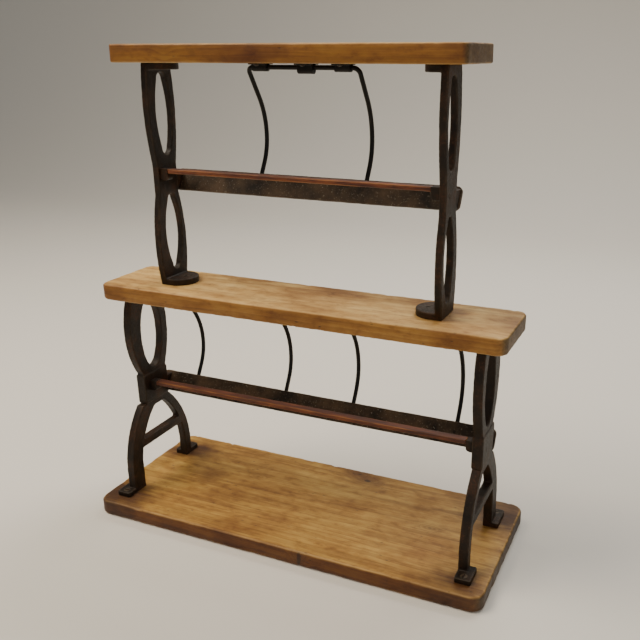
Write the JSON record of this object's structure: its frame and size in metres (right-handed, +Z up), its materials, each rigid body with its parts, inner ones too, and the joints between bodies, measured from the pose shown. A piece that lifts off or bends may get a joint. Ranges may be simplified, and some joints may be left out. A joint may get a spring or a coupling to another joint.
{
  "type": "test tube rack",
  "caption": "Two-tier wooden rack on cast-iron end brackets, each tier with a leaning plate-and-rail tray and bowed wire back hoops.",
  "frame": {"origin": "centre of the base board's underside, where the rack stands", "axes": "+X to the right along the boards, +Y to the rear, towards the plates and hoops, +Z up"},
  "size_m": [0.5, 0.195, 0.559],
  "materials": {
    "board_wood": "waxed old pine, honey brown with dark knots",
    "rail_wood": "waxed mahogany red-brown",
    "cast_iron": "blackened casting, worn brown at the edges",
    "plate_iron": "old black paint, speckled",
    "black_wire": "black enamelled wire",
    "fastener_steel": "darkened steel"
  },
  "bodies": {
    "root": {"base_board": "board_wood", "lower_bracket_left": "cast_iron", "lower_bracket_right": "cast_iron", "lower_bracket_top_screws": "fastener_steel", "lower_clip_screws": "fastener_steel", "lower_foot_screws": "fastener_steel", "lower_hoop_rivets": "fastener_steel", "lower_left_hoop": "black_wire", "lower_left_hoop_clip_centre": "black_wire", "lower_left_hoop_clip_left": "black_wire", "lower_left_hoop_clip_right": "black_wire", "lower_plate_bolts": "fastener_steel", "lower_plate_wedge_left": "cast_iron", "lower_plate_wedge_right": "cast_iron", "lower_rail_socket_left": "cast_iron", "lower_rail_socket_right": "cast_iron", "lower_right_hoop": "black_wire", "lower_right_hoop_clip_centre": "black_wire", "lower_right_hoop_clip_left": "black_wire", "lower_right_hoop_clip_right": "black_wire", "lower_socket_rivets": "fastener_steel", "lower_tray_plate": "plate_iron", "lower_tray_rail": "rail_wood", "middle_board": "board_wood", "top_board": "board_wood", "upper_bracket_left": "cast_iron", "upper_bracket_right": "cast_iron", "upper_bracket_top_screws": "fastener_steel", "upper_clip_screws": "fastener_steel", "upper_foot_screws": "fastener_steel", "upper_hoop": "black_wire", "upper_hoop_clip_centre": "black_wire", "upper_hoop_clip_left": "black_wire", "upper_hoop_clip_right": "black_wire", "upper_hoop_rivets": "fastener_steel", "upper_plate_bolts": "fastener_steel", "upper_plate_wedge_left": "cast_iron", "upper_plate_wedge_right": "cast_iron", "upper_rail_socket_left": "cast_iron", "upper_rail_socket_right": "cast_iron", "upper_socket_rivets": "fastener_steel", "upper_tray_plate": "plate_iron", "upper_tray_rail": "rail_wood"}
  },
  "joints": []
}
